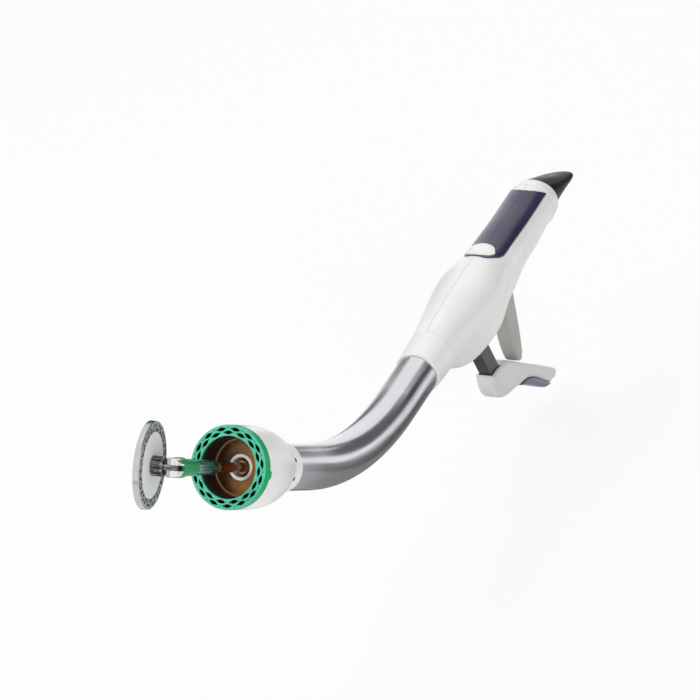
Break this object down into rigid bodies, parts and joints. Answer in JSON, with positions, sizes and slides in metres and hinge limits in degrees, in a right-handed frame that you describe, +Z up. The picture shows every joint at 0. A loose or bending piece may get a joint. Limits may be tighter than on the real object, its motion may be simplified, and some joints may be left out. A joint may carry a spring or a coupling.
{
  "type": "circular stapler",
  "caption": "Hand-held curved surgical stapler with a tilting anvil, stapling ring, bent steel shaft, squeeze lever and wing knob",
  "frame": {"origin": "on the handle's axis, in the middle of the hand grip between nose and rear cap", "axes": "+X from the stapling head along the handle to the knob, +Z up through the grip pad away from the lever, +Y to the left seen from the knob"},
  "size_m": [0.3855, 0.0338, 0.2052],
  "materials": {
    "chrome_steel": "polished steel",
    "stem_steel": "brushed steel",
    "tube_steel": "brushed steel",
    "dark_steel": "dark steel",
    "blade_steel": "blackened steel",
    "bronze": "bronze, satin",
    "white_plastic": "moulded, semi-gloss",
    "washer_plastic": "moulded",
    "green_plastic": "moulded, semi-gloss",
    "amber_plastic": "moulded, semi-gloss",
    "blue_rubber": "soft overmould",
    "black_plastic": "moulded",
    "grey_plastic": "moulded",
    "lever_plastic": "moulded",
    "inner_plastic": "moulded",
    "staple_wire": "titanium wire"
  },
  "bodies": {
    "handle": {"cartridge_ring": "green_plastic", "head_housing": "white_plastic", "trocar_guide": "white_plastic", "shaft_tube": "tube_steel", "guide_tube": "stem_steel", "driver_tube": "inner_plastic", "draw_bands": "stem_steel", "nose_ring": "white_plastic", "body_left": "white_plastic", "body_right": "white_plastic", "grip_pad_left": "blue_rubber", "grip_pad_right": "blue_rubber", "hump_cap": "white_plastic", "rear_cap": "white_plastic", "body_screws": "dark_steel", "guide_bracket": "inner_plastic", "screw_bush": "bronze", "lever_pin": "stem_steel", "lever_spring": "stem_steel", "safety_pin": "stem_steel"},
    "knob": {"adjusting_knob": "black_plastic", "lead_screw": "stem_steel"},
    "nut": {"screw_nut": "bronze"},
    "trocar_drive": {"trocar": "bronze"},
    "anvil_stem": {"anvil_rod": "stem_steel", "anvil_collar": "green_plastic", "anvil_pivot_pin": "stem_steel"},
    "anvil": {"anvil_head": "chrome_steel", "anvil_washer": "washer_plastic"},
    "pusher": {"staple_pusher": "inner_plastic", "circular_knife": "blade_steel", "knife_carrier": "amber_plastic", "staples": "staple_wire"},
    "yoke": {"drive_yoke": "inner_plastic"},
    "lever": {"lever_arm": "dark_steel", "lever_grip": "lever_plastic", "lever_pad": "blue_rubber"},
    "safety": {"safety_catch": "grey_plastic"}
  },
  "joints": [
    {"name": "knob_turn", "type": "hinge", "parent": "handle", "child": "knob", "pos_m": [0.045, 0, 0], "axis": [-1, 0, 0], "range_deg": [0, 3600]},
    {"name": "nut_slide", "type": "slide", "parent": "handle", "child": "nut", "axis": [1, 0, 0], "range_m": [0, 0.0492]},
    {"name": "trocar_slide", "type": "slide", "parent": "handle", "child": "trocar_drive", "axis": [0.8007, 0, -0.599], "range_m": [0, 0.0492]},
    {"name": "anvil_dock", "type": "slide", "parent": "trocar_drive", "child": "anvil_stem", "axis": [-0.8007, 0, 0.599], "range_m": [0, 0.03]},
    {"name": "anvil_tilt", "type": "hinge", "parent": "anvil_stem", "child": "anvil", "pos_m": [-0.30895, 0, 0.09457], "axis": [0.599, 0, 0.8007], "range_deg": [0, 77.3]},
    {"name": "lever_squeeze", "type": "hinge", "parent": "handle", "child": "lever", "pos_m": [-0.055, 0, -0.015], "axis": [0, -1, 0], "range_deg": [0, 29], "stiffness_Nm_per_rad": 0.5, "springref_deg": -14.32},
    {"name": "yoke_slide", "type": "slide", "parent": "handle", "child": "yoke", "axis": [-1, 0, 0], "range_m": [0, 0.0031]},
    {"name": "pusher_slide", "type": "slide", "parent": "handle", "child": "pusher", "axis": [-0.8007, 0, 0.599], "range_m": [0, 0.0031]},
    {"name": "safety_swing", "type": "hinge", "parent": "handle", "child": "safety", "pos_m": [-0.014, 0, -0.013], "axis": [0, -1, 0], "range_deg": [0, 70]}
  ],
  "couplings": [
    {"joint": "knob_turn", "follows": "nut_slide", "rad_per_m": 1277.1},
    {"joint": "trocar_slide", "follows": "nut_slide", "ratio": 1},
    {"joint": "anvil_tilt", "follows": "nut_slide", "rad_per_m": 27.422},
    {"joint": "yoke_slide", "follows": "lever_squeeze", "m_per_rad": 0.0061247},
    {"joint": "pusher_slide", "follows": "lever_squeeze", "m_per_rad": 0.0061247},
    {"joint": "safety_swing", "follows": "lever_squeeze", "ratio": 2.4138}
  ]
}
